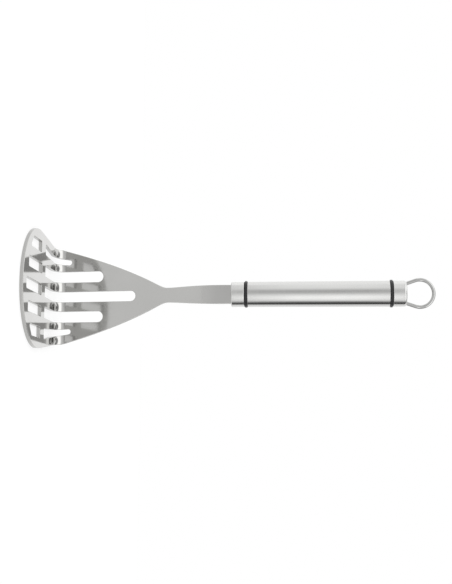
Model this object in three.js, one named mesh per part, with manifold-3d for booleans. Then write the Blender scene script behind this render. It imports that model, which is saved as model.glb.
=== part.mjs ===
// Potato masher: one bent stainless sheet (slotted mashing plate, fan and tang) in a tubular handle
// with two end caps, two black rings, two inner plugs and a wire hanging loop.
// Millimetres. It stands on its mashing plate: z = 0 is the plate's underside, +Z runs up the handle,
// and the plate reaches towards -Y. The pieces are modelled with the handle's axis on x = y = 0, and
// the finished group is moved along y so that the origin is the middle of the footprint.
import * as THREE from 'three';
import { mergeVertices } from 'three/addons/utils/BufferGeometryUtils.js';
import Module from 'manifold-3d';

const wasm = await Module();
wasm.setup();

// ---- driving dimensions -------------------------------------------------------------------------

// The sheet
const SHEET = 2.5;                 // thickness
const FAN_LEAN = 7.03 * Math.PI / 180; // the fan leans back from the handle's axis
const NECK_Z = 109.2;                // where the fan's middle surface would meet the axis
const PLATE_BEND_R = 8.25;         // middle surface, plate to fan
const NECK_BEND_R = 150;           // middle surface, fan to tang
const BEND_TOP = 7;                // height where the plate's outline hands over to the fan's
const PLATE_REACH = 90.5;          // from the inner corner to the plate's tip
const PLATE_HALF_W = 40.3;         // at its widest
const WIDEST_AT = 50.4;            // depth of the widest place, from the inner corner
const NOSE_POWER = 2.03;           // superellipse exponent of the plate's rounded nose
const HEEL_HALF_W = 34.2;          // half-width at the bend
const FLANK_PULL_AT = 43.2;        // depth of the control point between heel and widest place
const FAN_PULL = { halfW: 22.45, z: 50 }; // control point of the fan's side
const SHOULDER = { halfW: 7.7, z: 77.4 }; // where the fan runs into the neck
const NECK_PULL_Z = 82.2;
const NECK_WAIST = { halfW: 5.2, z: 84.5 };
const TANG_PULL = { lowZ: 93, halfW: 6.55, highZ: 101 };
const TANG = { halfW: 6.65, z: 123, top: 150 };

// Openings in the sheet. Depths are measured from the inner corner along the plate, heights from the floor.
const SLOT_PLATE_END = 32.9;
const CENTRE_SLOT = { x: 0, halfW: 3.7, fanEnd: 61.4 };
const MIDDLE_SLOT = { x: 14.4, halfW: 3.9, fanEnd: 37.6 };
const OUTER_SLOT = { plateX: 29.2, plateHalfW: 3.55, fanX: 25, fanHalfW: 1.9, fanEnd: 14 };
const WINDOW_START = 42;
const CENTRE_WINDOW = { x: 0, halfW: 3.7, end: 82 };
const MIDDLE_WINDOW = { x: 14.8, halfW: 3.45, end: 76.8 };
const OUTER_WINDOW = { x: 29.35, halfW: 3.75, start: 43.8, innerEnd: 72.6, outerEnd: 65.5 };
const CUT_CORNER_R = 1.2;

// The handle. Its outside tapers very slightly, thicker at the hanging end.
const FRONT_R = 8.9;
const REAR_R = 9.22;
const TUBE_WALL = 1.0;
const CAP_WALL = 1.3;
const RING_PROUD = 0.42;
const SEAM = 0.15;                 // axial gap between neighbours on the handle
const FIT_GAP = 0.3;               // radial gap of a pressed-in piece
const FRONT_FACE_Z = 130;
const FRONT_RING = { low: 139.4, high: 141.3 };
const REAR_RING = { low: 240, high: 241.85 };
const REAR_FACE_Z = 251.5;
const CAP_CHAMFER = 0.45;
const REAR_FILLET = 1.9;
const FRONT_PLUG_TOP = 158;
const REAR_PLUG = { low: 224, high: 246.6 };
const PLUG_CHAMFER = 0.6;
const RING_CHAMFER = 0.4;

// The hanging loop
const WIRE_R = 1.3;
const LEG_X = 7.0;                 // the legs enter the rear cap this far either side of the axis
const FOOT_X = 2.4;                // inner end of each turned-in foot
const FOOT_Z = 248.2;
const FOOT_BEND_R = 1.8;
const LOOP_CENTRE_Z = 260.6;
const LOOP_R = 9.6;                // wire centre line

// How finely curves are divided
const TURN_STEPS = 48;
const WIRE_SIDES = 10;
const WIRE_STEPS = 72;
const BEND_STEPS = [12, 6];          // plate bend, neck bend
const NOSE_STEPS = 40;

// ---- derived places -----------------------------------------------------------------------------

// The inner corner is where the plate's upper face and the fan's front face would meet.
const cornerY = (NECK_Z - SHEET) * Math.tan(FAN_LEAN) - SHEET / 2 / Math.cos(FAN_LEAN);
const yAtDepth = (depth) => cornerY - depth;
const bendCornerY = (NECK_Z - SHEET / 2) * Math.tan(FAN_LEAN);
const bendTangent = PLATE_BEND_R * Math.tan((Math.PI / 2 + FAN_LEAN) / 2);
const heelY = bendCornerY - bendTangent + PLATE_BEND_R + SHEET / 2;
const footprintMidY = (heelY + yAtDepth(PLATE_REACH)) / 2;
const BEHIND_Y = heelY + 15;       // clear of the sheet's back, for cutters
const outsideR = (z) => FRONT_R + (REAR_R - FRONT_R) * (z - FRONT_FACE_Z) / (REAR_FACE_Z - FRONT_FACE_Z);

// ---- helpers ------------------------------------------------------------------------------------

// Position-only, merged, without zero-area triangles: a closed mesh ready for booleans.
function closedMesh(geometry) {
  const bare = geometry.clone();
  bare.deleteAttribute('normal');
  bare.deleteAttribute('uv');
  const merged = mergeVertices(bare, 1e-4);
  const from = merged.index.array;
  const kept = [];
  for (let i = 0; i < from.length; i += 3) {
    const [a, b, c] = [from[i], from[i + 1], from[i + 2]];
    if (a !== b && b !== c && c !== a) kept.push(a, b, c);
  }
  merged.setIndex(kept);
  return merged;
}

function solid(geometry) {
  const mesh = closedMesh(geometry);
  return new wasm.Manifold(new wasm.Mesh({
    numProp: 3,
    vertProperties: new Float32Array(mesh.attributes.position.array),
    triVerts: new Uint32Array(mesh.index.array),
  }));
}

function geometryOf(manifold) {
  const mesh = manifold.getMesh();
  const geometry = new THREE.BufferGeometry();
  geometry.setAttribute('position', new THREE.BufferAttribute(new Float32Array(mesh.vertProperties), 3));
  geometry.setIndex(new THREE.BufferAttribute(new Uint32Array(mesh.triVerts), 1));
  geometry.computeVertexNormals();
  return geometry;
}

// A plan outline (x, y) raised from zLow to zHigh.
function planPrism(shape, zLow, zHigh, curveSegments = 12) {
  const options = { depth: zHigh - zLow, bevelEnabled: false, curveSegments };
  return new THREE.ExtrudeGeometry(shape, options).translate(0, 0, zLow);
}

// A front outline (x, z) running from yNear (nearer -Y) to yFar.
function frontPrism(shape, yNear, yFar, curveSegments = 12) {
  const options = { depth: yFar - yNear, bevelEnabled: false, curveSegments };
  return new THREE.ExtrudeGeometry(shape, options).rotateX(Math.PI / 2).translate(0, yFar, 0);
}

// A side outline (y, z) running across x, centred.
function sidePrism(shape, width) {
  const geometry = new THREE.ExtrudeGeometry(shape, { depth: width, bevelEnabled: false });
  const toSide = new THREE.Matrix4().makeBasis(
    new THREE.Vector3(0, 1, 0), new THREE.Vector3(0, 0, 1), new THREE.Vector3(1, 0, 0));
  return geometry.applyMatrix4(toSide).translate(-width / 2, 0, 0);
}

// A profile of [radius, z] points turned about the z axis.
function turned(profile, segments = TURN_STEPS) {
  const points = profile.map(([r, z]) => new THREE.Vector2(r, z));
  return new THREE.LatheGeometry(points, segments).rotateX(Math.PI / 2);
}

function rod(radius, low, high, segments = TURN_STEPS) {
  return new THREE.CylinderGeometry(radius, radius, high - low, segments)
    .rotateX(Math.PI / 2).translate(0, 0, (low + high) / 2);
}

// A round bar with its two end edges chamfered.
function chamferedRod(radius, low, high, chamfer) {
  return turned([[0, low], [radius - chamfer, low], [radius, low + chamfer],
    [radius, high - chamfer], [radius - chamfer, high], [0, high]]);
}

function arcPoints(centreR, centreZ, radius, from, to, steps) {
  return Array.from({ length: steps + 1 }, (_, i) => {
    const angle = from + (to - from) * i / steps;
    return [centreR + radius * Math.cos(angle), centreZ + radius * Math.sin(angle)];
  });
}

// A closed outline through the corners, each rounded to radius r.
function roundedPolygon(corners, r) {
  const shape = new THREE.Shape();
  corners.forEach((corner, i) => {
    const before = corners[(i + corners.length - 1) % corners.length];
    const after = corners[(i + 1) % corners.length];
    const toBefore = before.clone().sub(corner).normalize();
    const toAfter = after.clone().sub(corner).normalize();
    const start = corner.clone().addScaledVector(toBefore, r);
    const end = corner.clone().addScaledVector(toAfter, r);
    if (i === 0) shape.moveTo(start.x, start.y);
    else shape.lineTo(start.x, start.y);
    shape.quadraticCurveTo(corner.x, corner.y, end.x, end.y);
  });
  return shape;
}

const mirrored = (points) => points.map((p) => new THREE.Vector2(-p.x, p.y)).reverse();

// ---- masher blade -------------------------------------------------------------------------------

// Side outline of a sheet that follows straight runs joined by bends of the given middle radii.
function bentStrip(path, radii, bendSteps) {
  const half = SHEET / 2;
  const direction = (i) => path[i + 1].clone().sub(path[i]).normalize();
  const leftOf = (d) => new THREE.Vector2(-d.y, d.x);
  const left = [path[0].clone().addScaledVector(leftOf(direction(0)), half)];
  const right = [path[0].clone().addScaledVector(leftOf(direction(0)), -half)];
  radii.forEach((radius, k) => {
    const corner = path[k + 1];
    const [d1, d2] = [direction(k), direction(k + 1)];
    const turn = Math.atan2(d1.x * d2.y - d1.y * d2.x, d1.dot(d2));
    const side = Math.sign(turn);
    const tangent = radius * Math.tan(Math.abs(turn) / 2);
    const outward = leftOf(d1).multiplyScalar(-side);
    const centre = corner.clone().addScaledVector(d1, -tangent).addScaledVector(outward, -radius);
    for (let i = 0; i <= bendSteps[k]; i += 1) {
      const ray = outward.clone().rotateAround(new THREE.Vector2(), turn * i / bendSteps[k]);
      left.push(centre.clone().addScaledVector(ray, radius - side * half));
      right.push(centre.clone().addScaledVector(ray, radius + side * half));
    }
  });
  const last = path.length - 1;
  const lastLeft = leftOf(direction(last - 1));
  left.push(path[last].clone().addScaledVector(lastLeft, half));
  right.push(path[last].clone().addScaledVector(lastLeft, -half));
  return new THREE.Shape([...right, ...left.reverse()]);
}

// Plan outline of the plate, carried on past the bend.
function plateOutline() {
  const noseReach = PLATE_REACH - WIDEST_AT;
  const nose = Array.from({ length: NOSE_STEPS + 1 }, (_, i) => {
    const angle = Math.PI * i / NOSE_STEPS;
    const across = Math.sign(Math.cos(angle)) * Math.abs(Math.cos(angle)) ** (2 / NOSE_POWER);
    const along = Math.sin(angle) ** (2 / NOSE_POWER);
    return new THREE.Vector2(PLATE_HALF_W * across, yAtDepth(WIDEST_AT + noseReach * along));
  });
  const heel = new THREE.Vector2(HEEL_HALF_W, yAtDepth(0));
  const flank = new THREE.QuadraticBezierCurve(
    heel, new THREE.Vector2(PLATE_HALF_W, yAtDepth(FLANK_PULL_AT)), nose[0]).getPoints(10).slice(0, -1);
  const back = new THREE.Vector2(HEEL_HALF_W, BEHIND_Y);
  return new THREE.Shape([back, ...flank, ...nose, ...mirrored(flank), ...mirrored([back])].reverse());
}

// Front outline of the fan, neck and tang, from BEND_TOP up.
function fanOutline() {
  const v = (x, z) => new THREE.Vector2(x, z);
  const shoulder = v(SHOULDER.halfW, SHOULDER.z);
  const waist = v(NECK_WAIST.halfW, NECK_WAIST.z);
  const side = [
    ...new THREE.QuadraticBezierCurve(v(HEEL_HALF_W, BEND_TOP), v(FAN_PULL.halfW, FAN_PULL.z), shoulder)
      .getPoints(14),
    ...new THREE.QuadraticBezierCurve(shoulder, v(NECK_WAIST.halfW, NECK_PULL_Z), waist)
      .getPoints(8).slice(1),
    ...new THREE.CubicBezierCurve(waist, v(NECK_WAIST.halfW, TANG_PULL.lowZ),
      v(TANG_PULL.halfW, TANG_PULL.highZ), v(TANG.halfW, TANG.z)).getPoints(8).slice(1),
    v(TANG.halfW, TANG.top + 1),
  ];
  const foot = v(HEEL_HALF_W, BEND_TOP - 0.01);
  return new THREE.Shape([foot, ...side, ...mirrored(side), ...mirrored([foot])]);
}

// Cutters of one slot: across the plate and round the bend, then up the fan to a round end.
function slotCutters({ plateX, plateHalfW, fanX, fanHalfW, fanEnd }) {
  const plateY = yAtDepth(SLOT_PLATE_END);
  const plateRun = SLOT_PLATE_END;
  const fanRun = fanEnd - SHEET;
  const share = plateRun / (plateRun + fanRun);
  const bendX = plateX + (fanX - plateX) * share;
  const bendHalfW = plateHalfW + (fanHalfW - plateHalfW) * share;
  const v = (x, y) => new THREE.Vector2(x, y);
  const r = CUT_CORNER_R;
  const plan = new THREE.Shape([v(bendX - bendHalfW, BEHIND_Y), v(bendX - bendHalfW, yAtDepth(0)),
    v(plateX - plateHalfW, plateY + r),
    ...arcPoints(plateX - plateHalfW + r, plateY + r, r, Math.PI, 1.5 * Math.PI, 4).slice(1)
      .map(([x, y]) => v(x, y)),
    ...arcPoints(plateX + plateHalfW - r, plateY + r, r, 1.5 * Math.PI, 2 * Math.PI, 4)
      .map(([x, y]) => v(x, y)),
    v(bendX + bendHalfW, yAtDepth(0)), v(bendX + bendHalfW, BEHIND_Y)]);
  const endZ = fanEnd - fanHalfW;
  const foot = BEND_TOP - 0.01;
  const front = new THREE.Shape([v(bendX - bendHalfW, foot), v(bendX + bendHalfW, foot),
    ...arcPoints(fanX, endZ, fanHalfW, 0, Math.PI, 16).map(([x, z]) => v(x, z))]);
  return [planPrism(plan, -1, BEND_TOP), frontPrism(front, -BEHIND_Y, BEHIND_Y)];
}

function windowCutter(corners) {
  return planPrism(roundedPolygon(corners, CUT_CORNER_R), -1, BEND_TOP, 4);
}

function middleWindow(x) {
  const { halfW, end } = x === 0 ? CENTRE_WINDOW : MIDDLE_WINDOW;
  const [near, far] = [yAtDepth(WINDOW_START), yAtDepth(end)];
  return windowCutter([new THREE.Vector2(x - halfW, near), new THREE.Vector2(x - halfW, far),
    new THREE.Vector2(x + halfW, far), new THREE.Vector2(x + halfW, near)]);
}

// The outermost windows end on a slant that follows the rim.
function outerWindow(side) {
  const { x, halfW, start, innerEnd, outerEnd } = OUTER_WINDOW;
  const [inner, outer] = [side * (x - halfW), side * (x + halfW)];
  const corners = [new THREE.Vector2(inner, yAtDepth(start)), new THREE.Vector2(inner, yAtDepth(innerEnd)),
    new THREE.Vector2(outer, yAtDepth(outerEnd)), new THREE.Vector2(outer, yAtDepth(start))];
  return windowCutter(side > 0 ? corners : corners.reverse());
}

function bladeCutters() {
  const straight = ({ x, halfW, fanEnd }, side) => slotCutters(
    { plateX: side * x, plateHalfW: halfW, fanX: side * x, fanHalfW: halfW, fanEnd });
  const flared = (side) => slotCutters(
    { ...OUTER_SLOT, plateX: side * OUTER_SLOT.plateX, fanX: side * OUTER_SLOT.fanX });
  return [
    ...straight(CENTRE_SLOT, 1),
    ...[-1, 1].flatMap((side) => [...straight(MIDDLE_SLOT, side), ...flared(side)]),
    middleWindow(0),
    ...[-1, 1].flatMap((side) => [middleWindow(side * MIDDLE_WINDOW.x), outerWindow(side)]),
  ];
}

function masherBlade() {
  const plateMid = SHEET / 2;
  const path = [new THREE.Vector2(yAtDepth(PLATE_REACH + 2), plateMid),
    new THREE.Vector2(bendCornerY, plateMid),
    new THREE.Vector2(0, NECK_Z), new THREE.Vector2(0, TANG.top)];
  const side = bentStrip(path, [PLATE_BEND_R, NECK_BEND_R], BEND_STEPS);
  const strip = solid(sidePrism(side, 2 * PLATE_HALF_W + 10));
  const outline = solid(planPrism(plateOutline(), -1, BEND_TOP))
    .add(solid(frontPrism(fanOutline(), -BEHIND_Y, BEHIND_Y)));
  const blank = strip.intersect(outline);
  return geometryOf(bladeCutters().reduce((rest, cutter) => rest.subtract(solid(cutter)), blank));
}

// ---- handle -------------------------------------------------------------------------------------

const tangSlot = (low, high) => new THREE.BoxGeometry(
  2 * (TANG.halfW + FIT_GAP), SHEET + 2 * FIT_GAP, high - low).translate(0, 0, (low + high) / 2);

// A cup over the front end, with a slot in its face for the tang.
function frontCap() {
  const top = FRONT_RING.low - SEAM;
  const body = solid(chamferedRod(outsideR(FRONT_FACE_Z), FRONT_FACE_Z, top, CAP_CHAMFER));
  const inside = solid(rod(FRONT_R - TUBE_WALL, FRONT_FACE_Z + CAP_WALL, top + 1));
  const slot = solid(tangSlot(FRONT_FACE_Z - 1, top + 1));
  return geometryOf(body.subtract(inside).subtract(slot));
}

// A ring with softened outer edges.
function spacerRing({ low, high }) {
  const outer = outsideR((low + high) / 2) + RING_PROUD;
  const inner = outer - RING_PROUD - TUBE_WALL;
  return turned([[inner, low], [outer - RING_CHAMFER, low], [outer, low + RING_CHAMFER],
    [outer, high - RING_CHAMFER], [outer - RING_CHAMFER, high], [inner, high], [inner, low]]);
}

function handleTube() {
  const [low, high] = [FRONT_RING.high + SEAM, REAR_RING.low - SEAM];
  const [rLow, rHigh] = [outsideR(low), outsideR(high)];
  return turned([[rLow - TUBE_WALL, low], [rLow - CAP_CHAMFER / 2, low], [rLow, low + CAP_CHAMFER / 2],
    [rHigh, high - CAP_CHAMFER / 2], [rHigh - CAP_CHAMFER / 2, high], [rHigh - TUBE_WALL, high],
    [rLow - TUBE_WALL, low]]);
}

// A plug in the tube's front end, which grips the tang.
function frontPlug() {
  const radius = FRONT_R - TUBE_WALL - FIT_GAP;
  const body = solid(chamferedRod(radius, FRONT_FACE_Z + CAP_WALL + FIT_GAP, FRONT_PLUG_TOP, PLUG_CHAMFER));
  return geometryOf(body.subtract(solid(tangSlot(FRONT_FACE_Z, TANG.top + 0.5))));
}

function rearPlug() {
  const radius = outsideR(REAR_PLUG.low) - TUBE_WALL - FIT_GAP;
  return chamferedRod(radius, REAR_PLUG.low, REAR_PLUG.high, PLUG_CHAMFER);
}

// A closed cup over the rear end, filleted round its face, with two holes for the loop's legs.
function rearCap() {
  const low = REAR_RING.high + SEAM;
  const r = outsideR(low);
  const fillet = arcPoints(r - REAR_FILLET, REAR_FACE_Z - REAR_FILLET, REAR_FILLET, 0, Math.PI / 2, 6);
  const body = solid(turned([[0, low], [r - CAP_CHAMFER, low], [r, low + CAP_CHAMFER], ...fillet,
    [0, REAR_FACE_Z]]));
  const inside = solid(rod(r - TUBE_WALL, low - 1, REAR_FACE_Z - CAP_WALL));
  const holes = [-1, 1].map((side) => solid(
    rod(WIRE_R + FIT_GAP, REAR_FACE_Z - 3, REAR_FACE_Z + 1, 24).translate(side * LEG_X, 0, 0)));
  return geometryOf(holes.reduce((cap, hole) => cap.subtract(hole), body.subtract(inside)));
}

// Half of the wire's centre line (x, z), from a turned-in foot out to the loop's far end.
function loopHalf() {
  const foot = arcPoints(LEG_X - FOOT_BEND_R, FOOT_Z + FOOT_BEND_R, FOOT_BEND_R, -Math.PI / 2, 0, 6);
  const leave = [LEG_X, REAR_FACE_Z + 0.1];
  const toCentre = [-leave[0], LOOP_CENTRE_Z - leave[1]];
  const distance = Math.hypot(...toCentre);
  const touch = Math.atan2(-toCentre[1], -toCentre[0]) + Math.acos(LOOP_R / distance);
  const round = arcPoints(0, LOOP_CENTRE_Z, LOOP_R, touch, Math.PI / 2, 20);
  return [[FOOT_X, FOOT_Z], ...foot, leave, ...round];
}

function hangingLoop() {
  const half = loopHalf();
  const other = half.slice(0, -1).map(([x, z]) => [-x, z]).reverse();
  const points = [...half, ...other].map(([x, z]) => new THREE.Vector3(x, 0, z));
  const path = new THREE.CatmullRomCurve3(points, false, 'centripetal');
  const section = new THREE.Shape(
    arcPoints(0, 0, WIRE_R, 0, 2 * Math.PI * (1 - 1 / WIRE_SIDES), WIRE_SIDES - 1)
      .map(([x, y]) => new THREE.Vector2(x, y)));
  return new THREE.ExtrudeGeometry(section, { steps: WIRE_STEPS, extrudePath: path, bevelEnabled: false });
}

// ---- assembly -----------------------------------------------------------------------------------

const polishedSteel = { color: 0xc4c5c4, roughness: 0.08, metalness: 1 };
const satinSteel = { color: 0xc9c8c5, roughness: 0.3, metalness: 1 };
const blackPlastic = { color: 0x17171a, roughness: 0.45, metalness: 0 };
const greyPlastic = { color: 0x55585c, roughness: 0.6, metalness: 0 };

const masher = new THREE.Group();
masher.position.y = -footprintMidY;

function part(name, geometry, look) {
  const mesh = new THREE.Mesh(geometry, new THREE.MeshStandardMaterial(look));
  mesh.name = name;
  masher.add(mesh);
}

part('masher_blade', masherBlade(), polishedSteel);
part('front_cap', frontCap(), satinSteel);
part('front_ring', spacerRing(FRONT_RING), blackPlastic);
part('front_plug', frontPlug(), greyPlastic);
part('handle_tube', handleTube(), satinSteel);
part('rear_ring', spacerRing(REAR_RING), blackPlastic);
part('rear_plug', rearPlug(), greyPlastic);
part('rear_cap', rearCap(), satinSteel);
part('hanging_loop', hangingLoop(), polishedSteel);

export default masher;
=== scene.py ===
import math

import bmesh
import bpy
from mathutils import Matrix, Vector


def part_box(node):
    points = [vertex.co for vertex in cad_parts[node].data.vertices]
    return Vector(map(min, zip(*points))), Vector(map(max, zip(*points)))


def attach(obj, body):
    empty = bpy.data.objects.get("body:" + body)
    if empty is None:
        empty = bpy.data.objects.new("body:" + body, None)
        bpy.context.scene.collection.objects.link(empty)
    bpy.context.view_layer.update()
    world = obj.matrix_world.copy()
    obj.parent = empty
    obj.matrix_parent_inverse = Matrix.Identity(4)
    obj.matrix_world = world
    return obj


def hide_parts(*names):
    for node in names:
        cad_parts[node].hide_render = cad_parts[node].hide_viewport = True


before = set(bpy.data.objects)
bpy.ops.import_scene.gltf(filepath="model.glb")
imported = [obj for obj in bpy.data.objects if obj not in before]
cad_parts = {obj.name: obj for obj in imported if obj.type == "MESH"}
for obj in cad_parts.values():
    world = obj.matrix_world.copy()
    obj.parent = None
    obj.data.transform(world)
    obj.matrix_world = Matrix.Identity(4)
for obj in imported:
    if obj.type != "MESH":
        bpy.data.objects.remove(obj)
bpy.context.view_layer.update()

# A potato masher: one bent, polished stainless sheet in a satin tubular handle with black rings and a
# wire hanging loop. It stands on its mashing plate, with z = 0 on the plate's underside.

MM = 0.001

# ---- places and sizes, from the frame ---------------------------------------------------------------

BODY = "root"
tube_low, tube_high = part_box("handle_tube")
AXIS_Y = (tube_low + tube_high).y / 2        # the handle's axis is x = 0, y = AXIS_Y
AXIS = Vector((0, AXIS_Y, 0))

# ---- the sheet's shape, in millimetres --------------------------------------------------------------
# x is measured from the handle's axis. Along the sheet, a place on the plate is given by its depth from
# the inner corner, and one on the fan, neck or tang by its height.

SHEET = 2.5
FAN_LEAN = math.radians(7.03)
NECK_Z = 109.2
PLATE_BEND_R = 8.25
NECK_BEND_R = 150.0
PLATE_REACH = 90.5
PLATE_HALF_W = 40.3
WIDEST_AT = 50.4
NOSE_POWER = 2.03
FLANK_PULL = 43.2                            # depth of the control point between plate and heel
HEEL_HALF_W = 34.2
HEEL_TOP = 7.0
FAN_PULL = (22.45, 50.0)
SHOULDER = (7.7, 77.4)
NECK_PULL_Z = 82.2
WAIST = (5.2, 84.5)
TANG_PULL_Z = 93.0
TANG_PULL = (6.55, 101.0)
TANG = (6.65, 123.0)
TANG_TOP = 150.0
SLOT_PLATE_END = 32.9                        # depth of all slots' ends in the plate
CUT_CORNER_R = 1.2
CENTRE_CUT_HALF = 3.7                        # half width of the centre slot and window
CENTRE_SLOT_TOP = 61.4
INNER_SLOT_X = 14.4
INNER_SLOT_HALF = 3.9
INNER_SLOT_TOP = 37.6
OUTER_SLOT_FOOT = (29.2, 3.55)               # middle and half width, in the plate
OUTER_SLOT_HEAD = (25.0, 1.9, 14.0)          # the same in the fan, and its end's height
# Windows: middle, half width, depth of the near end, and of the far end's inner and outer corners.
CENTRE_WINDOW = (0, CENTRE_CUT_HALF, 42, 82, 82)
INNER_WINDOW = (14.8, 3.45, 42, 76.8, 76.8)
OUTER_WINDOW = (29.35, 3.75, 43.8, 72.6, 65.5)
EDGE_ROUND = 0.32                            # the polished-over edge of the cut sheet
BEND_CROWN = 0.45                            # how far the bars' edges sink inside the bend
CROWN_CUT = 1.1                              # spacing of the lengthwise cuts that carry the crown
CUT_SNAP = 1e-5                              # a dividing cut uses points this near instead of new ones
FACE_BAND = 1e-4                             # points this near the level of a face lie on it

CORNER_Y = (NECK_Z - SHEET) * math.tan(FAN_LEAN) - SHEET / 2 / math.cos(FAN_LEAN)
BEND_ANGLE = math.pi / 2 + FAN_LEAN
BEND_START_Y = (NECK_Z - SHEET / 2) * math.tan(FAN_LEAN) - PLATE_BEND_R * math.tan(BEND_ANGLE / 2)
BEND_LENGTH = PLATE_BEND_R * BEND_ANGLE
NECK_TANGENT = NECK_BEND_R * math.tan(FAN_LEAN / 2)
FAN_START_Z = SHEET / 2 + PLATE_BEND_R * (1 - math.cos(BEND_ANGLE))
FAN_END_Z = NECK_Z - NECK_TANGENT * math.cos(FAN_LEAN)
FAN_END_S = BEND_LENGTH + (FAN_END_Z - FAN_START_Z) / math.cos(FAN_LEAN)
TANG_START_S = FAN_END_S + NECK_BEND_R * FAN_LEAN


def s_at_depth(depth):
    """Developed position of a place on the plate, by its depth from the inner corner."""
    return CORNER_Y - depth - BEND_START_Y


def s_at_height(z):
    """Developed position of a place on the bend, fan, neck or tang, by its height."""
    if z < FAN_START_Z:
        return PLATE_BEND_R * math.acos(1 - (z - SHEET / 2) / PLATE_BEND_R)
    if z < NECK_Z:
        return BEND_LENGTH + (z - FAN_START_Z) / math.cos(FAN_LEAN)
    return TANG_START_S + z - NECK_Z - NECK_TANGENT


def place_on_sheet(s):
    """Middle-surface point (y, z) and front-side normal (y, z) at developed position s."""
    if s <= 0:
        return (BEND_START_Y + s, SHEET / 2), (0.0, 1.0)
    if s <= BEND_LENGTH:
        turn = s / PLATE_BEND_R
        y = BEND_START_Y + PLATE_BEND_R * math.sin(turn)
        return (y, SHEET / 2 + PLATE_BEND_R * (1 - math.cos(turn))), (-math.sin(turn), math.cos(turn))
    if s <= FAN_END_S:
        along = s - BEND_LENGTH
        y = BEND_START_Y + PLATE_BEND_R * math.sin(BEND_ANGLE) - along * math.sin(FAN_LEAN)
        z = FAN_START_Z + along * math.cos(FAN_LEAN)
        return (y, z), (-math.cos(FAN_LEAN), -math.sin(FAN_LEAN))
    lean = max(0.0, FAN_LEAN - (s - FAN_END_S) / NECK_BEND_R)
    y = NECK_BEND_R * (1 - math.cos(lean))
    z = NECK_Z + NECK_TANGENT - NECK_BEND_R * math.sin(lean) + max(0.0, s - TANG_START_S)
    return (y, z), (-math.cos(lean), -math.sin(lean))


# ---- outline helpers --------------------------------------------------------------------------------


def even_stops(low, high, count):
    return [low + (high - low) * i / count for i in range(count + 1)]


def bezier(points, steps):
    """Points along a quadratic or cubic Bezier curve, ends included."""
    def at(t):
        level = list(points)
        while len(level) > 1:
            level = [tuple(a + (b - a) * t for a, b in zip(p, q)) for p, q in zip(level, level[1:])]
        return level[0]
    return [at(t) for t in even_stops(0, 1, steps)]


def arc(centre, radius, start, end, steps):
    """Points along a circular arc between two angles in degrees, ends included."""
    angles = [math.radians(degrees) for degrees in even_stops(start, end, steps)]
    return [(centre[0] + radius * math.cos(a), centre[1] + radius * math.sin(a)) for a in angles]


def mirror(points):
    """The points on the other side of x = 0, in the order that keeps an outline's direction."""
    return [(-x, y) for x, y in reversed(points)]


def rounded(corners, radius, steps=8):
    """A closed outline through the corners, each rounded by a circular arc."""
    outline = []
    for i, corner in enumerate(corners):
        here = Vector(corner)
        to_before = (Vector(corners[i - 1]) - here).normalized()
        to_after = (Vector(corners[(i + 1) % len(corners)]) - here).normalized()
        half = to_before.angle(to_after) / 2
        tangent = radius / math.tan(half)
        middle = here + (to_before + to_after).normalized() * radius / math.sin(half)
        first = here + to_before * tangent - middle
        last = here + to_after * tangent - middle
        sweep = first.angle_signed(last)
        for angle in even_stops(0, -sweep, steps):
            spoke = first.copy()
            spoke.rotate(Matrix.Rotation(angle, 2))
            outline.append(tuple(middle + spoke))
    return outline


# ---- mesh helpers -----------------------------------------------------------------------------------


def piece_from(bm, name, normals=None):
    """An object made of a finished bmesh, smooth, with its own normals where they are given."""
    mesh = bpy.data.meshes.new(name)
    for face in bm.faces:
        face.smooth = True
    bm.to_mesh(mesh)
    bm.free()
    if normals:
        mesh.normals_split_custom_set_from_vertices(normals)
    obj = bpy.data.objects.new(name, mesh)
    bpy.context.scene.collection.objects.link(obj)
    return obj


def filleted_profile(corners, steps):
    """Points (r, z, normal r, normal z) of a profile whose corners (r, z, fillet) are rounded.

    The solid is on the left of the direction of travel. The first and last corner are on the axis or
    coincide, and are not rounded if they are on the axis.
    """
    closed = corners[0][:2] == corners[-1][:2]
    ring = corners[:-1] if closed else corners
    points = []
    for i, (r, z, fillet) in enumerate(ring):
        if not closed and i in (0, len(ring) - 1):
            continue
        before = Vector(ring[i - 1][:2])
        after = Vector(ring[(i + 1) % len(ring)][:2])
        here = Vector((r, z))
        come, go = (here - before).normalized(), (after - here).normalized()
        turn = math.atan2(come.x * go.y - come.y * go.x, come.dot(go))
        tangent = fillet * math.tan(abs(turn) / 2)
        out = Vector((come.y, -come.x))
        side = math.copysign(1, turn)
        centre = here - come * tangent - out * fillet * side
        for angle in even_stops(0, turn, steps):
            c, s = math.cos(angle), math.sin(angle)
            normal = Vector((out.x * c - out.y * s, out.x * s + out.y * c))
            point = centre + normal * fillet * side
            points.append((point.x, point.y, normal.x, normal.y))
    if not closed:
        first, last = ring[0], ring[-1]
        points.insert(0, (0.0, first[1], 0.0, points[0][3]))
        points.append((0.0, last[1], 0.0, points[-1][3]))
    return points, closed


def bridge(bm, low, high):
    """Faces between two rings of points, either of which may be a single point on the axis."""
    count = max(len(low), len(high))
    for i in range(count):
        j = (i + 1) % count
        if len(low) == 1:
            bm.faces.new((low[0], high[j], high[i]))
        elif len(high) == 1:
            bm.faces.new((low[i], low[j], high[0]))
        else:
            bm.faces.new((low[i], low[j], high[j], high[i]))


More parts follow.
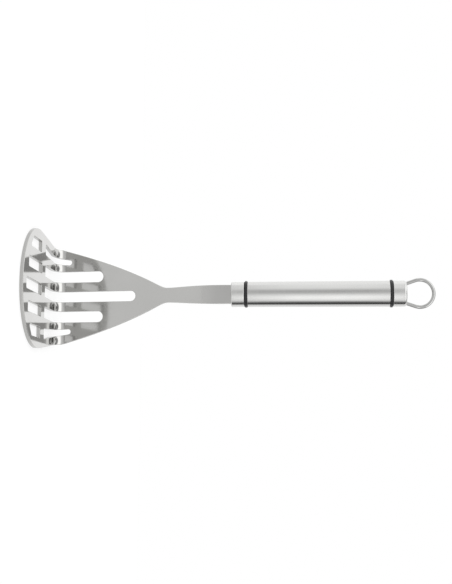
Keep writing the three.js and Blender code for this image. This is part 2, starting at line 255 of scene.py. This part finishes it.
def turned_piece(name, corners, segments=160, steps=6):
    """A body of revolution about the handle's axis. Corners are in millimetres."""
    points, closed = filleted_profile(corners, steps)
    bm = bmesh.new()
    rings, normals = [], []
    for r, z, nr, nz in points:
        if r == 0:
            rings.append([bm.verts.new((0, AXIS_Y, z * MM))])
            normals.append(Vector((0, 0, nz)))
            continue
        ring = []
        for angle in even_stops(0, 2 * math.pi, segments)[:-1]:
            c, s = math.cos(angle), math.sin(angle)
            ring.append(bm.verts.new((r * c * MM, AXIS_Y + r * s * MM, z * MM)))
            normals.append(Vector((nr * c, nr * s, nz)).normalized())
        rings.append(ring)
    pairs = list(zip(rings, rings[1:]))
    if closed:
        pairs.append((rings[-1], rings[0]))
    for low, high in pairs:
        bridge(bm, low, high)
    return piece_from(bm, name, normals)


# ---- masher blade -----------------------------------------------------------------------------------


def blade_outline():
    """The developed outline (x, s), counter-clockwise."""
    nose = []
    for angle in even_stops(0, math.pi, 96):
        across = math.copysign(abs(math.cos(angle)) ** (2 / NOSE_POWER), math.cos(angle))
        along = abs(math.sin(angle)) ** (2 / NOSE_POWER)
        depth = WIDEST_AT + (PLATE_REACH - WIDEST_AT) * along
        nose.append((-PLATE_HALF_W * across, s_at_depth(depth)))
    heel = (HEEL_HALF_W, s_at_depth(0))
    widest, pull = ((PLATE_HALF_W, s_at_depth(depth)) for depth in (WIDEST_AT, FLANK_PULL))
    flank = bezier([widest, pull, heel], steps=20)[1:]
    fan = bezier([(HEEL_HALF_W, HEEL_TOP), FAN_PULL, SHOULDER], steps=36)
    neck = bezier([SHOULDER, (WAIST[0], NECK_PULL_Z), WAIST], steps=20)[1:]
    tang = bezier([WAIST, (WAIST[0], TANG_PULL_Z), TANG_PULL, TANG], steps=20)[1:]
    edge = [(x, s_at_height(z)) for x, z in fan + neck + tang + [(TANG[0], TANG_TOP)]]
    right = flank + edge
    return nose + right + mirror(right)


def slot_outline(plate_x, plate_half, fan_x, fan_half, fan_end):
    """A clockwise slot from a square end in the plate, round the bend, to a round end in the fan."""
    low = s_at_depth(SLOT_PLATE_END)
    top = s_at_height(fan_end) - fan_half
    r = CUT_CORNER_R
    left_foot = arc((plate_x - plate_half + r, low + r), r, 270, 180, steps=8)
    round_end = arc((fan_x, top), fan_half, 180, 0, steps=32)
    right_foot = arc((plate_x + plate_half - r, low + r), r, 0, -90, steps=8)
    return left_foot + round_end + right_foot


def straight_slot(x, half, fan_end):
    return slot_outline(x, half, x, half, fan_end)


def window_outline(x, half, start, inner_end, outer_end):
    """A clockwise window in the plate. Its far end may slant, to follow the rim on the +x side."""
    near = s_at_depth(start)
    corners = [(x - half, near), (x + half, near), (x + half, s_at_depth(outer_end)),
               (x - half, s_at_depth(inner_end))]
    return rounded(corners, CUT_CORNER_R)


def blade_openings():
    one_side = [
        straight_slot(INNER_SLOT_X, INNER_SLOT_HALF, INNER_SLOT_TOP),
        slot_outline(*OUTER_SLOT_FOOT, *OUTER_SLOT_HEAD),
        window_outline(*INNER_WINDOW),
        window_outline(*OUTER_WINDOW),
    ]
    centre = [straight_slot(0, CENTRE_CUT_HALF, CENTRE_SLOT_TOP), window_outline(*CENTRE_WINDOW)]
    return centre + one_side + [mirror(outline) for outline in one_side]


def outward_offsets(loop):
    """For each point of a loop with the sheet on its left, the unit direction out of the sheet."""
    found = []
    for i, here in enumerate(loop):
        before, after = Vector(loop[i - 1]), Vector(loop[(i + 1) % len(loop)])
        travel = (Vector(here) - before).normalized() + (after - Vector(here)).normalized()
        found.append(Vector((travel.y, -travel.x)).normalized())
    return found


def add_edge_wall(bm, loop, steps=4):
    """The rounded cut edge along one loop. Returns the front and back edges that the faces fill."""
    half = SHEET / 2
    out = outward_offsets(loop)
    quarter = even_stops(0, math.pi / 2, steps)
    profile = [(EDGE_ROUND * (1 - math.sin(a)), half - EDGE_ROUND * (1 - math.cos(a))) for a in quarter]
    profile += [(inset, -n) for inset, n in reversed(profile)]
    rings = []
    for inset, n in profile:
        rings.append([bm.verts.new((x - o.x * inset, y - o.y * inset, n)) for (x, y), o in zip(loop, out)])
    count = len(loop)
    for upper, lower in zip(rings, rings[1:]):
        for i in range(count):
            j = (i + 1) % count
            bm.faces.new((upper[i], lower[i], lower[j], upper[j]))
    edges = []
    for ring in (rings[0], rings[-1]):
        edges.append([bm.edges.get((ring[i], ring[(i + 1) % count])) for i in range(count)])
    return edges


def flat_blade():
    """The sheet before bending: x across, y along the developed length, z through the thickness."""
    bm = bmesh.new()
    front, back = [], []
    for loop in [blade_outline(), *blade_openings()]:
        front_edges, back_edges = add_edge_wall(bm, loop)
        front += front_edges
        back += back_edges
    for edges, up in ((front, 1), (back, -1)):
        made = bmesh.ops.triangle_fill(bm, use_beauty=True, edges=edges)
        for face in [f for f in made["geom"] if isinstance(f, bmesh.types.BMFace)]:
            face.normal_update()
            if face.normal.z * up < 0:
                face.normal_flip()
    return bm


def divide_across(bm, positions):
    """Cut the sheet across at developed positions, so that it can bend there."""
    for s in positions:
        geometry = bm.verts[:] + bm.edges[:] + bm.faces[:]
        bmesh.ops.bisect_plane(bm, geom=geometry, dist=CUT_SNAP, plane_co=(0, s, 0), plane_no=(0, 1, 0))


def divide_lengthwise(bm, low, high, spacing):
    """Cut the faces between two developed positions along the sheet's length, at an even spacing."""
    count = int(HEEL_HALF_W / spacing) + 2
    for i in range(-count, count + 1):
        faces = [f for f in bm.faces if low < f.calc_center_median().y < high]
        edges = list({e for f in faces for e in f.edges})
        verts = list({v for f in faces for v in f.verts})
        bmesh.ops.bisect_plane(bm, geom=verts + edges + faces, dist=CUT_SNAP,
                               plane_co=((i + 0.5) * spacing, 0, 0), plane_no=(1, 0, 0))


def bar_at(x, s):
    """Inner and outer limit of the bar nearest to a place in the bend, on the +x side."""
    start, end = s_at_depth(SLOT_PLATE_END), s_at_height(OUTER_SLOT_HEAD[2])
    share = (s - start) / (end - start)
    middle, half = (foot + (head - foot) * share for foot, head in zip(OUTER_SLOT_FOOT, OUTER_SLOT_HEAD))
    bars = [(CENTRE_CUT_HALF, INNER_SLOT_X - INNER_SLOT_HALF),
            (INNER_SLOT_X + INNER_SLOT_HALF, middle - half),
            (middle + half, HEEL_HALF_W)]
    return min(bars, key=lambda bar: abs(x - (bar[0] + bar[1]) / 2))


def crown(x, s):
    """Sink of a bar's inner face inside the bend, and its slope across the bar."""
    if not 0 < s < BEND_LENGTH:
        return 0.0, 0.0
    low, high = bar_at(abs(x), s)
    off_middle = max(-1.0, min(1.0, (2 * abs(x) - low - high) / (high - low)))
    strength = BEND_CROWN * math.sin(math.pi * s / BEND_LENGTH) ** 2
    slope = strength * 4 * off_middle / (high - low)
    return strength * off_middle ** 2, math.copysign(1, x) * slope


def bend(point, normal):
    """A flat-sheet point and normal carried to the bent sheet, in the frame's axes and metres."""
    (y, z), (ny, nz) = place_on_sheet(point.y)
    place = Vector((point.x, y + ny * point.z, z + nz * point.z)) * MM + AXIS
    along = (nz, -ny)
    turned = Vector((normal.x, along[0] * normal.y + ny * normal.z, along[1] * normal.y + nz * normal.z))
    return place, turned.normalized()


def masher_blade():
    """The bent sheet. Its attribute cut_edge is 1 on the cut edges and 0 on the two faces."""
    bm = flat_blade()
    divide_across(bm, even_stops(0, BEND_LENGTH, 24) + even_stops(FAN_END_S, TANG_START_S, 12))
    divide_lengthwise(bm, 0, BEND_LENGTH, CROWN_CUT)
    bm.normal_update()
    face_level = SHEET / 2 - FACE_BAND
    edge_mark = bm.verts.layers.float.new("cut_edge")
    normals = []
    for v in bm.verts:
        on_face = abs(v.co.z) > face_level
        v[edge_mark] = 0.0 if on_face else 1.0
        flat_normal = Vector((0, 0, math.copysign(1, v.co.z))) if on_face else v.normal.copy()
        sink, slope = crown(v.co.x, v.co.y)
        share = v.co.z / SHEET + 0.5
        flat_normal.x += slope * share * on_face
        v.co.z -= sink * share
        v.co, turned = bend(v.co.copy(), flat_normal)
        normals.append(turned)
    return piece_from(bm, "blade_sheet", normals)


# ---- handle pieces, in millimetres ------------------------------------------------------------------

WALL = 1.0                                   # of the tube and both cups
RING_DEPTH = 1.15
# Fillets: the tube's ends, the caps' rims next to the rings, all inner rims, the rings, and each cap's
# face with the corner inside the cup.
TUBE_EDGE = 0.22
CAP_EDGE = 0.5
INNER_EDGE = 0.1
RING_FILLET = 0.55
FRONT_FILLET = 0.7
FRONT_CORNER = 0.3
REAR_FILLET = 1.9
REAR_CORNER = 0.5
SLOT_GAP = 0.3                               # how much wider and thicker the slot is than the tang
SLOT_CUT = 6                                 # length of the block that cuts it
WIRE_R = 1.3
HOLE_GAP = 0.12                              # between a leg of the wire and its hole's edge
HOLE_CUT = (-3, 1)                           # ends of the rods that cut the holes, from the cap's face
SHARP_ANGLE = math.radians(38)               # edges between faces at more than this stay sharp


def ends_mm(node):
    """Lower end, upper end and largest radius of a round piece of the frame."""
    low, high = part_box(node)
    return low.z / MM, high.z / MM, (high.x - low.x) / 2 / MM


TUBE_LOW, TUBE_HIGH, TUBE_R_HIGH = ends_mm("handle_tube")
FRONT_LOW, FRONT_HIGH, FRONT_R = ends_mm("front_cap")
REAR_LOW, REAR_HIGH, REAR_R = ends_mm("rear_cap")
SLOPE = (TUBE_R_HIGH - FRONT_R) / (TUBE_HIGH - FRONT_LOW)


def outside_r(z):
    """Radius of the handle's slight taper at a height."""
    return FRONT_R + SLOPE * (z - FRONT_LOW)


def handle_tube():
    low, high = TUBE_LOW, TUBE_HIGH
    inner_low, inner_high = outside_r(low) - WALL, outside_r(high) - WALL
    return turned_piece("handle_tube_shell", [
        (inner_low, low, INNER_EDGE), (outside_r(low), low, TUBE_EDGE),
        (outside_r(high), high, TUBE_EDGE), (inner_high, high, INNER_EDGE),
        (inner_low, low, INNER_EDGE)])


def spacer_ring(node):
    low, high, radius = ends_mm(node)
    inner = radius - RING_DEPTH
    return turned_piece(node + "_band", [
        (inner, low, INNER_EDGE), (radius, low, RING_FILLET), (radius, high, RING_FILLET),
        (inner, high, INNER_EDGE), (inner, low, INNER_EDGE)], steps=8)


def cut(obj, cutters, name):
    """obj less the cutters, as a new object with clean shading."""
    for cutter in cutters:
        modifier = obj.modifiers.new("cut", "BOOLEAN")
        modifier.operation = "DIFFERENCE"
        modifier.solver = "EXACT"
        modifier.object = cutter
    graph = bpy.context.evaluated_depsgraph_get()
    mesh = bpy.data.meshes.new_from_object(obj.evaluated_get(graph))
    result = bpy.data.objects.new(name, mesh)
    bpy.context.scene.collection.objects.link(result)
    for used in [obj, *cutters]:
        bpy.data.objects.remove(used)
    mesh.shade_smooth()
    mesh.set_sharp_from_angle(angle=SHARP_ANGLE)
    weighted = result.modifiers.new("flat faces stay flat", "WEIGHTED_NORMAL")
    weighted.weight = 100
    weighted.keep_sharp = True
    return result


def box_cutter(size, centre):
    bm = bmesh.new()
    bmesh.ops.create_cube(bm, size=1.0)
    bmesh.ops.scale(bm, vec=[s * MM for s in size], verts=bm.verts)
    bmesh.ops.translate(bm, vec=Vector(centre) * MM + AXIS, verts=bm.verts)
    return piece_from(bm, "cutter")


def rod_cutter(x, radius, low, high):
    bm = bmesh.new()
    bmesh.ops.create_cone(bm, cap_ends=True, segments=48, radius1=radius * MM, radius2=radius * MM,
                          depth=(high - low) * MM)
    bmesh.ops.translate(bm, vec=(x * MM, AXIS_Y, (low + high) / 2 * MM), verts=bm.verts)
    return piece_from(bm, "cutter")


def front_cap():
    low, high, r = FRONT_LOW, FRONT_HIGH, FRONT_R
    cup = turned_piece("front_cup", [
        (0, low, 0), (r, low, FRONT_FILLET), (r, high, CAP_EDGE), (r - WALL, high, INNER_EDGE),
        (r - WALL, low + WALL, FRONT_CORNER), (0, low + WALL, 0)])
    slot = box_cutter((2 * TANG[0] + SLOT_GAP, SHEET + SLOT_GAP, SLOT_CUT), (0, 0, low))
    return cut(cup, [slot], "front_cap_cup")


def rear_cap():
    low, high, r = REAR_LOW, REAR_HIGH, REAR_R
    cup = turned_piece("rear_cup", [
        (0, high - WALL, 0), (r - WALL, high - WALL, REAR_CORNER), (r - WALL, low, INNER_EDGE),
        (r, low, CAP_EDGE), (r, high, REAR_FILLET), (0, high, 0)], steps=12)
    cut_low, cut_high = (high + offset for offset in HOLE_CUT)
    holes = [rod_cutter(side * LEG_X, WIRE_R + HOLE_GAP, cut_low, cut_high) for side in (-1, 1)]
    return cut(cup, holes, "rear_cap_cup")


# ---- hanging loop, in millimetres -------------------------------------------------------------------

LEG_X = 7.0
FOOT_X = 2.4
FOOT_Z = 248.2
FOOT_BEND_R = 1.8
LEG_RISE = 0.1                               # height above the cap's face where the legs start to lean
LOOP_CENTRE_Z = 260.6
LOOP_R = 9.54


def loop_line():
    """Centre line (x, z) of the bent wire, foot to foot."""
    foot = arc((LEG_X - FOOT_BEND_R, FOOT_Z + FOOT_BEND_R), FOOT_BEND_R, -90, 0, steps=10)
    leave = (LEG_X, REAR_HIGH + LEG_RISE)
    dx, dz = leave[0], leave[1] - LOOP_CENTRE_Z
    distance = math.hypot(dx, dz)
    touch = math.degrees(math.atan2(dz, dx) + math.acos(LOOP_R / distance))
    eye = arc((0, LOOP_CENTRE_Z), LOOP_R, touch, 90, steps=40)
    tangent_run = [tuple(Vector(leave).lerp(Vector(eye[0]), share)) for share in (0.3, 0.65)]
    half = [(FOOT_X, FOOT_Z)] + foot + [leave] + tangent_run + eye
    return half + [(-x, z) for x, z in reversed(half[:-1])]


def smooth_line(points, rounds=3):
    """The line with every inner point moved towards its neighbours, a few times over."""
    for _ in range(rounds):
        inner = [tuple((a + 2 * b + c) / 4 for a, b, c in zip(p, q, s))
                 for p, q, s in zip(points, points[1:], points[2:])]
        points = [points[0]] + inner + [points[-1]]
    return points


def evenly_spaced(points, count):
    """The line through the points, divided into a number of equal lengths."""
    lengths = [0.0]
    for p, q in zip(points, points[1:]):
        lengths.append(lengths[-1] + math.dist(p, q))
    spaced, k = [], 0
    for target in even_stops(0, lengths[-1], count):
        while k < len(points) - 2 and lengths[k + 1] < target:
            k += 1
        share = (target - lengths[k]) / (lengths[k + 1] - lengths[k])
        spaced.append(tuple(a + (b - a) * share for a, b in zip(points[k], points[k + 1])))
    return spaced


def hanging_loop():
    line = smooth_line(evenly_spaced(loop_line(), count=180))
    sides = 28
    bm = bmesh.new()
    rings, normals = [], []
    for i, (x, z) in enumerate(line):
        before, after = line[max(i - 1, 0)], line[min(i + 1, len(line) - 1)]
        along = Vector((after[0] - before[0], after[1] - before[1])).normalized()
        side = Vector((along.y, 0, -along.x))
        ring = []
        for angle in even_stops(0, 2 * math.pi, sides)[:-1]:
            out = side * math.cos(angle) + Vector((0, 1, 0)) * math.sin(angle)
            ring.append(bm.verts.new((Vector((x, 0, z)) + out * WIRE_R) * MM + AXIS))
            normals.append(out)
        rings.append(ring)
    for low, high in zip(rings, rings[1:]):
        bridge(bm, low, high)
    bm.faces.new(list(reversed(rings[0])))
    bm.faces.new(rings[-1])
    bmesh.ops.recalc_face_normals(bm, faces=bm.faces)
    return piece_from(bm, "hanging_wire", normals)


# ---- materials --------------------------------------------------------------------------------------


def math_node(tree, operation, *values):
    node = tree.nodes.new("ShaderNodeMath")
    node.operation = operation
    for socket, value in zip(node.inputs, values):
        if isinstance(value, (int, float)):
            socket.default_value = value
        else:
            tree.links.new(value, socket)
    return node.outputs["Value"]


def map_range(tree, value, from_low, from_high, low=0.0, high=1.0, interpolation="LINEAR"):
    node = tree.nodes.new("ShaderNodeMapRange")
    node.interpolation_type = interpolation
    node.inputs["From Min"].default_value = from_low
    node.inputs["From Max"].default_value = from_high
    node.inputs["To Min"].default_value = low
    node.inputs["To Max"].default_value = high
    tree.links.new(value, node.inputs["Value"])
    return node.outputs["Result"]


def color_ramp(tree, value, stops):
    """The colour at a value, from stops given as (position, colour)."""
    node = tree.nodes.new("ShaderNodeValToRGB")
    elements = node.color_ramp.elements
    while len(elements) < len(stops):
        elements.new(0.5)
    for element, (position, color) in zip(elements, stops):
        element.position = position
        element.color = (*color, 1)
    tree.links.new(value, node.inputs["Fac"])
    return node.outputs["Color"]


NOISE_LOW = 0.3
NOISE_HIGH = 0.7


class Paint:
    """A Principled material being wired up."""

    def __init__(self, name, metallic, roughness):
        self.material = bpy.data.materials.new(name)
        self.material.use_nodes = True
        self.tree = self.material.node_tree
        self.nodes, self.links = self.tree.nodes, self.tree.links
        self.shader = self.nodes["Principled BSDF"]
        self.shader.inputs["Metallic"].default_value = metallic
        self.shader.inputs["Roughness"].default_value = roughness
        self.place = self.nodes.new("ShaderNodeTexCoord").outputs["Object"]

    def stretched(self, scale):
        """The piece's own coordinates, scaled along each axis."""
        mapping = self.nodes.new("ShaderNodeMapping")
        mapping.inputs["Scale"].default_value = scale
        self.links.new(self.place, mapping.inputs["Vector"])
        return mapping.outputs["Vector"]

    def noise(self, scale, vector=None, detail=3.0, roughness=0.5):
        node = self.nodes.new("ShaderNodeTexNoise")
        node.inputs["Scale"].default_value = scale
        node.inputs["Detail"].default_value = detail
        node.inputs["Roughness"].default_value = roughness
        self.links.new(vector or self.place, node.inputs["Vector"])
        return node.outputs["Fac"]

    def spread(self, noise, low, high):
        """A noise, most of which lies between NOISE_LOW and NOISE_HIGH, spread over a range."""
        return map_range(self.tree, noise, NOISE_LOW, NOISE_HIGH, low, high)

    def shades(self, noise, dark, light):
        """A noise spread over the shades between two colours."""
        return color_ramp(self.tree, noise, [(NOISE_LOW, dark), (NOISE_HIGH, light)])

    def combine(self, operation, first, second):
        return math_node(self.tree, operation, first, second)

    def set(self, socket, value):
        self.links.new(value, self.shader.inputs[socket])

    def bump(self, height, strength, distance, before=None):
        node = self.nodes.new("ShaderNodeBump")
        node.inputs["Strength"].default_value = strength
        node.inputs["Distance"].default_value = distance
        self.links.new(height, node.inputs["Height"])
        if before is not None:
            self.links.new(before, node.inputs["Normal"])
        return node.outputs["Normal"]


def polished_sheet():
    """Mirror-polished stainless, faintly wavy, with hairline polishing marks and satin cut edges."""
    paint = Paint("polished_sheet", metallic=1.0, roughness=0.09)
    clouds = paint.noise(35.0, detail=4)
    paint.set("Base Color", paint.shades(clouds, (0.445, 0.443, 0.433), (0.47, 0.468, 0.458)))
    lines = paint.noise(260.0, paint.stretched((1.0, 1.0, 0.05)), detail=2)
    edge = paint.nodes.new("ShaderNodeAttribute")
    edge.attribute_name = "cut_edge"
    edge_rough = paint.combine("MULTIPLY", edge.outputs["Fac"], 0.16)
    paint.set("Roughness", paint.combine("ADD", paint.spread(lines, 0.055, 0.11), edge_rough))
    wave = paint.bump(paint.noise(22.0, detail=1), strength=0.25, distance=0.0004)
    paint.set("Normal", paint.bump(lines, strength=0.04, distance=0.0001, before=wave))
    return paint.material


def satin_steel(name, color, rough, line_strength):
    """Satin stainless, brushed round the circumference."""
    paint = Paint(name, metallic=1.0, roughness=rough)
    paint.shader.inputs["Anisotropic"].default_value = 0.5
    tangent = paint.nodes.new("ShaderNodeTangent")
    tangent.direction_type = "RADIAL"
    tangent.axis = "Z"
    paint.shader.inputs["Anisotropic Rotation"].default_value = 0.25
    paint.links.new(tangent.outputs["Tangent"], paint.shader.inputs["Tangent"])
    brush = paint.noise(1100.0, paint.stretched((0.004, 0.004, 1.0)), detail=4, roughness=0.65)
    clouds = paint.noise(60.0, detail=3)
    dark = tuple(c * 0.94 for c in color)
    paint.set("Base Color", paint.shades(brush, dark, color))
    fine = paint.spread(brush, rough - 0.03, rough + 0.04)
    paint.set("Roughness", paint.combine("ADD", fine, paint.spread(clouds, -0.015, 0.015)))
    paint.set("Normal", paint.bump(brush, line_strength, distance=0.00006))
    return paint.material


def polished_wire():
    """Bright stainless wire, a little uneven."""
    paint = Paint("polished_wire", metallic=1.0, roughness=0.06)
    clouds = paint.noise(120.0, detail=3)
    paint.set("Base Color", paint.shades(clouds, (0.4, 0.4, 0.394), (0.44, 0.44, 0.433)))
    paint.set("Roughness", paint.spread(paint.noise(400.0, detail=2), 0.04, 0.09))
    paint.set("Normal", paint.bump(paint.noise(500.0, detail=2), strength=0.03, distance=0.00005))
    return paint.material


def black_ring():
    """Semi-matte black with a very fine grain."""
    paint = Paint("black_ring", metallic=0.0, roughness=0.42)
    paint.shader.inputs["Specular IOR Level"].default_value = 0.32
    grain = paint.noise(1500.0, detail=3)
    paint.set("Base Color", paint.shades(grain, (0.009, 0.009, 0.01), (0.016, 0.016, 0.017)))
    paint.set("Roughness", paint.spread(paint.noise(300.0), 0.34, 0.5))
    paint.set("Normal", paint.bump(grain, strength=0.15, distance=0.00004))
    return paint.material


def moulded_plastic():
    """Grey plastic of the two plugs inside the handle."""
    paint = Paint("moulded_plastic", metallic=0.0, roughness=0.6)
    grain = paint.noise(900.0, detail=3)
    paint.set("Base Color", paint.shades(grain, (0.07, 0.075, 0.08), (0.1, 0.105, 0.11)))
    paint.set("Roughness", paint.spread(grain, 0.5, 0.7))
    paint.set("Normal", paint.bump(grain, strength=0.2, distance=0.00005))
    return paint.material


# ---- stage, in metres -------------------------------------------------------------------------------

FLOOR_HALF = 0.45
FLOOR_DROP = 0.0002                          # keeps the plate's underside and the floor apart
FLOOR_GLOW = 0.75


def pale_floor():
    bm = bmesh.new()
    bmesh.ops.create_grid(bm, x_segments=1, y_segments=1, size=FLOOR_HALF)
    bmesh.ops.translate(bm, vec=(0, 0, -FLOOR_DROP), verts=bm.verts)
    floor = piece_from(bm, "pale_floor")
    paint = Paint("pale_floor", metallic=0.0, roughness=0.9)
    paint.set("Base Color", paint.shades(paint.noise(0.5), (0.21, 0.21, 0.21), (0.22, 0.22, 0.22)))
    paint.shader.inputs["Specular IOR Level"].default_value = 0.0
    paint.shader.inputs["Emission Color"].default_value = (1, 1, 1, 1)
    paint.shader.inputs["Emission Strength"].default_value = FLOOR_GLOW
    floor.data.materials.append(paint.material)


# Studio brightness at each bearing round the object, in degrees. The front of the object faces 0, and
# bearings grow towards -X. One narrow dark flag stands at the +X side.
ROUND_THE_STUDIO = [
    (-180, 1.2), (-118, 1.15), (-112, 0.1), (-95, 0.1), (-84, 0.25), (-76, 0.7), (-66, 1.35), (-50, 1.75),
    (-34, 1.85), (-18, 1.5), (-2, 0.95), (8, 0.74), (16, 0.68), (24, 0.74), (36, 1.1), (48, 1.38),
    (60, 1.42), (100, 1.5), (150, 1.35), (180, 1.2)]
# Brightness by height above the horizon, in degrees, on the front side: one long softbox.
UP_THE_FRONT = [
    (3, 0.95), (20, 1.1), (27, 1.2), (31, 2.1), (57, 2.1), (63, 0.9), (68, 0.3), (80, 0.25), (90, 0.5)]
# The same by degrees below the horizon: near the floor's tone, for what mirrors past the floor's edge.
DOWN_THE_FRONT = [(3.4, 0.84), (4.8, 0.875), (7, 0.91), (10, 0.945), (14, 0.97), (90, 0.97)]
FRONT_BLEND = (0.1, -0.25)                   # y of a direction, from the side's tones to the front's
RISE_BLEND = (3, 9)                          # degrees of height over which UP_THE_FRONT takes over
SINK_BLEND = (-3.1, -3.7)                    # and over which DOWN_THE_FRONT does
BRIGHTEST = 2.5                              # above every level in these lists


def studio_world():
    """White to the camera, and a ring of softboxes to the light that falls on the object."""
    world = bpy.data.worlds.new("studio")
    world.use_nodes = True
    bpy.context.scene.world = world
    tree = world.node_tree
    nodes, links = tree.nodes, tree.links

    def brightness(angle, low, high, stops):
        """The level at an angle, from stops in degrees between low and high."""
        share = math_node(tree, "DIVIDE", math_node(tree, "SUBTRACT", angle, math.radians(low)),
                          math.radians(high - low))
        shares = [((degrees - low) / (high - low), [level / BRIGHTEST] * 3) for degrees, level in stops]
        return math_node(tree, "MULTIPLY", color_ramp(tree, share, shares), BRIGHTEST)

    split = nodes.new("ShaderNodeSeparateXYZ")
    links.new(nodes.new("ShaderNodeTexCoord").outputs["Generated"], split.inputs["Vector"])
    x, y, z = (split.outputs[axis] for axis in "XYZ")
    bearing = math_node(tree, "ARCTAN2", math_node(tree, "MULTIPLY", x, -1),
                        math_node(tree, "MULTIPLY", y, -1))
    height = math_node(tree, "ARCSINE", z)
    upwards = brightness(height, 0, 90, UP_THE_FRONT)
    downwards = brightness(math_node(tree, "MULTIPLY", height, -1), 0, 90, DOWN_THE_FRONT)
    frontal = map_range(tree, y, *FRONT_BLEND, interpolation="SMOOTHSTEP")
    level = brightness(bearing, -180, 180, ROUND_THE_STUDIO)
    for blend, tones in ((RISE_BLEND, upwards), (SINK_BLEND, downwards)):
        start, end = (math.radians(degrees) for degrees in blend)
        passed = map_range(tree, height, start, end, interpolation="SMOOTHSTEP")
        share = math_node(tree, "MULTIPLY", passed, frontal)
        rest = math_node(tree, "MULTIPLY", level, math_node(tree, "SUBTRACT", 1, share))
        level = math_node(tree, "ADD", rest, math_node(tree, "MULTIPLY", tones, share))
    camera_ray = nodes.new("ShaderNodeLightPath").outputs["Is Camera Ray"]
    mirrored = math_node(tree, "MULTIPLY", level, math_node(tree, "SUBTRACT", 1, camera_ray))
    seen = math_node(tree, "MAXIMUM", camera_ray, mirrored)
    background = nodes["Background"]
    background.inputs["Color"].default_value = (1, 1, 1, 1)
    links.new(seen, background.inputs["Strength"])


# The camera's place, with y from the handle's axis, and its directions to the right of the picture and
# backwards. These and the lens come from a fit to the object's outline in the photo.
CAMERA_PLACE = (0.09427, -0.73779, 0.18047)
CAMERA_RIGHT = (-0.00413, 0.07290, 0.99733)
CAMERA_BACK = (0.12868, -0.98901, 0.07283)
LENS = 65.6
SENSOR = 36.0


def camera_at_photo_angle():
    """The camera lies on its side: the handle points to the right of the picture."""
    data = bpy.data.cameras.new("camera")
    data.lens = LENS
    data.sensor_width = SENSOR
    data.clip_start = 0.05
    data.clip_end = 20.0
    camera = bpy.data.objects.new("camera", data)
    bpy.context.scene.collection.objects.link(camera)
    back = Vector(CAMERA_BACK).normalized()
    up = back.cross(Vector(CAMERA_RIGHT)).normalized()
    right = up.cross(back).normalized()
    axes = Matrix((right, up, back)).transposed().to_4x4()
    x, y, z = CAMERA_PLACE
    axes.translation = (x, AXIS_Y + y, z)
    camera.matrix_world = axes
    bpy.context.scene.camera = camera


# ---- assembly ---------------------------------------------------------------------------------------


def dress(piece, node, material):
    """Put a finished piece in the place of its CAD node."""
    piece.data.materials.clear()
    piece.data.materials.append(material)
    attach(piece, BODY)
    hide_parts(node)


camera_at_photo_angle()
studio_world()
pale_floor()

satin_tube = satin_steel("satin_tube", (0.52, 0.52, 0.512), rough=0.13, line_strength=0.05)
satin_caps = satin_steel("satin_caps", (0.56, 0.56, 0.551), rough=0.18, line_strength=0.1)
semi_matte = black_ring()
dress(masher_blade(), "masher_blade", polished_sheet())
dress(front_cap(), "front_cap", satin_caps)
dress(spacer_ring("front_ring"), "front_ring", semi_matte)
dress(handle_tube(), "handle_tube", satin_tube)
dress(spacer_ring("rear_ring"), "rear_ring", semi_matte)
dress(rear_cap(), "rear_cap", satin_caps)
dress(hanging_loop(), "hanging_loop", polished_wire())

plastic = moulded_plastic()
for plug in ("front_plug", "rear_plug"):
    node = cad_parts[plug]
    node.data.materials.clear()
    node.data.materials.append(plastic)

bpy.context.scene.view_settings.view_transform = "Standard"
